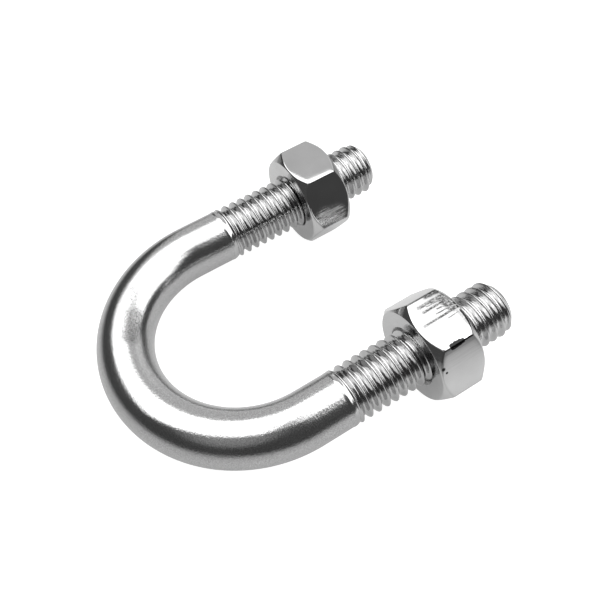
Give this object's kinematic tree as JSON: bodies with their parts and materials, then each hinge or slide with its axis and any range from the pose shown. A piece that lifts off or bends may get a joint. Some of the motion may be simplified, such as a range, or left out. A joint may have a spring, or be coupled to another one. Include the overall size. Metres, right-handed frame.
{
  "type": "u-bolt",
  "caption": "Round-bar U-bolt with threaded legs and a hex nut on each, used as a light lashing or pad eye through a plate.",
  "frame": {"origin": "centre of the bend, in the plane of the two legs' centre lines", "axes": "+X along the legs towards their tips, +Y towards the left leg, +Z square to the plane of the U"},
  "size_m": [0.0382, 0.0358, 0.0104],
  "materials": {
    "bar": "bright zinc-plated steel bar with rolled threads",
    "nut": "bright zinc-plated steel, fine drawn grain along the flats"
  },
  "bodies": {
    "u_bolt": {"u_bolt": "bar"},
    "nut_right": {"nut_right": "nut"},
    "nut_left": {"nut_left": "nut"}
  },
  "joints": [
    {"name": "nut_right_travel", "type": "slide", "parent": "u_bolt", "child": "nut_right", "axis": [1, 0, 0], "range_m": [-0.007, 0.011]},
    {"name": "nut_left_travel", "type": "slide", "parent": "u_bolt", "child": "nut_left", "axis": [1, 0, 0], "range_m": [-0.008, 0.01]}
  ]
}
